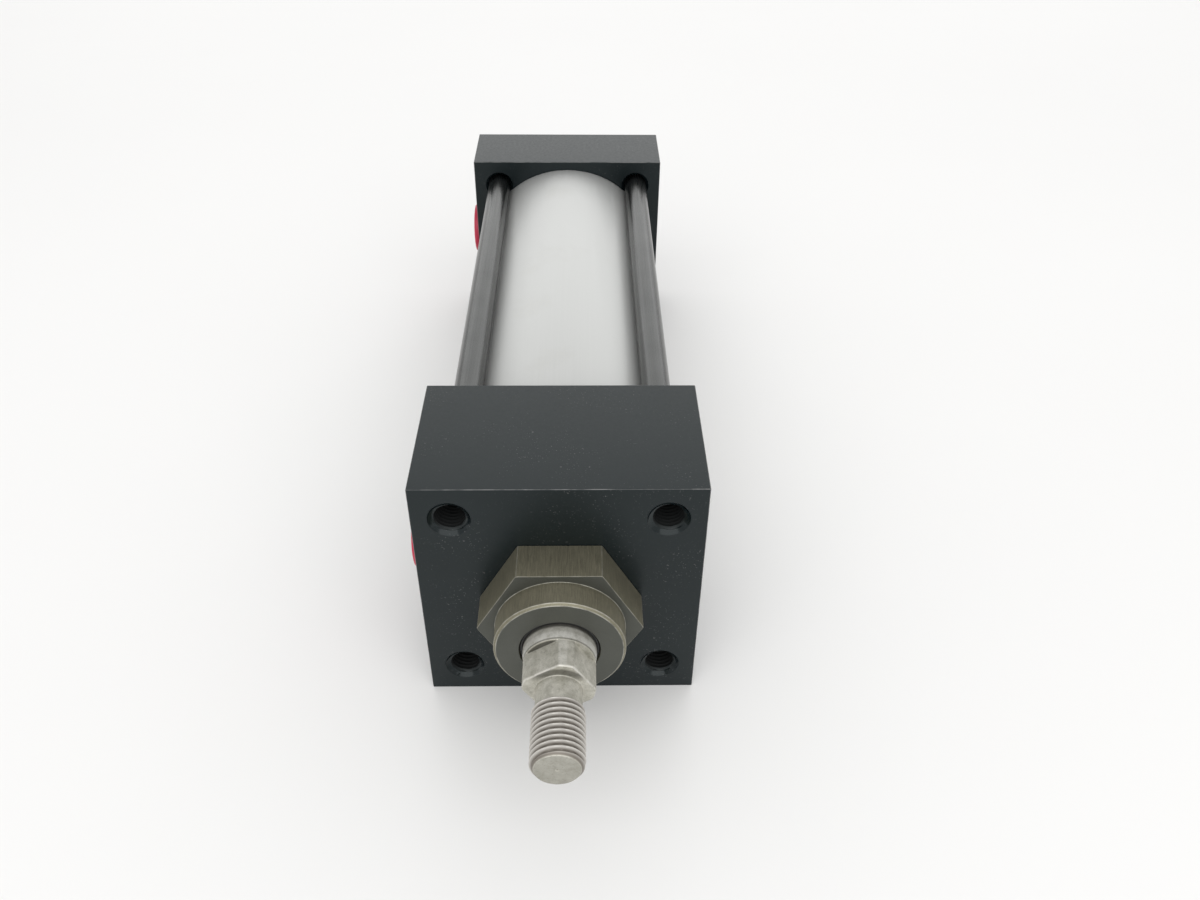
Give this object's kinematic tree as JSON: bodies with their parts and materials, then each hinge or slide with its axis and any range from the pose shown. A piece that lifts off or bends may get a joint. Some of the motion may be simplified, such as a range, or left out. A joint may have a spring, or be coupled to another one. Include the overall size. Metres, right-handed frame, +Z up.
{
  "type": "tie rod pneumatic cylinder",
  "caption": "Square-block tie-rod air cylinder with a hexagonal gland, round pilot and a sliding piston rod ending in wrench flats and a male thread; side ports are plugged.",
  "frame": {"origin": "centre of the head block's bottom face; the cylinder's axis is 31.75 mm above it", "axes": "+Y along the cylinder's axis from the head to the cap, so the piston rod comes out towards -Y; +Z up from the faces that the blocks rest on; +X to the right seen from the rod's end, with the ports on the -X side"},
  "size_m": [0.0671, 0.2423, 0.0635],
  "materials": {
    "black_anodised_block": "black anodised, satin, with fine machining lines",
    "clear_anodised_tube": "clear anodised, matte",
    "tie_rod_steel": "polished dark steel",
    "nut_steel": "black oxide",
    "gland_iron": "olive-brown oxide, turned, with bright worn edges",
    "rod_steel": "satin ground and turned",
    "piston_aluminium": "as turned",
    "bushing_bronze": "sintered",
    "seal_rubber": "matte black",
    "bumper_urethane": "amber, satin",
    "wear_band_tape": "filled bearing tape, matte",
    "red_plug_plastic": "moulded, satin"
  },
  "bodies": {
    "barrel": {"head": "black_anodised_block", "cap": "black_anodised_block", "tube": "clear_anodised_tube", "tube_seal_head": "seal_rubber", "tube_seal_cap": "seal_rubber", "tie_rod_1": "tie_rod_steel", "tie_rod_2": "tie_rod_steel", "tie_rod_3": "tie_rod_steel", "tie_rod_4": "tie_rod_steel", "tie_rod_nut_1": "nut_steel", "tie_rod_nut_2": "nut_steel", "tie_rod_nut_3": "nut_steel", "tie_rod_nut_4": "nut_steel", "gland": "gland_iron", "rod_wiper": "seal_rubber", "rod_seal": "seal_rubber", "rod_bushing": "bushing_bronze", "gland_o_ring": "seal_rubber"},
    "piston_packing": {"piston_seal_front": "seal_rubber", "piston_seal_rear": "seal_rubber", "piston_wear_band": "wear_band_tape"},
    "piston_and_rod": {"piston_rod": "rod_steel", "piston": "piston_aluminium", "piston_o_ring": "seal_rubber", "piston_nut": "nut_steel", "bumper_front": "bumper_urethane", "bumper_rear": "bumper_urethane"},
    "head_plug": {"port_plug_head": "red_plug_plastic"},
    "cap_plug": {"port_plug_cap": "red_plug_plastic"}
  },
  "joints": [
    {"name": "rod_extend", "type": "slide", "parent": "barrel", "child": "piston_packing", "axis": [0, -1, 0], "range_m": [0, 0.09525]},
    {"name": "rod_spin", "type": "hinge", "parent": "piston_packing", "child": "piston_and_rod", "pos_m": [0, 0, 0.03175], "axis": [0, -1, 0], "continuous": true},
    {"name": "head_plug_pull", "type": "slide", "parent": "barrel", "child": "head_plug", "axis": [-1, 0, 0], "range_m": [0, 0.014]},
    {"name": "cap_plug_pull", "type": "slide", "parent": "barrel", "child": "cap_plug", "axis": [-1, 0, 0], "range_m": [0, 0.014]}
  ]
}
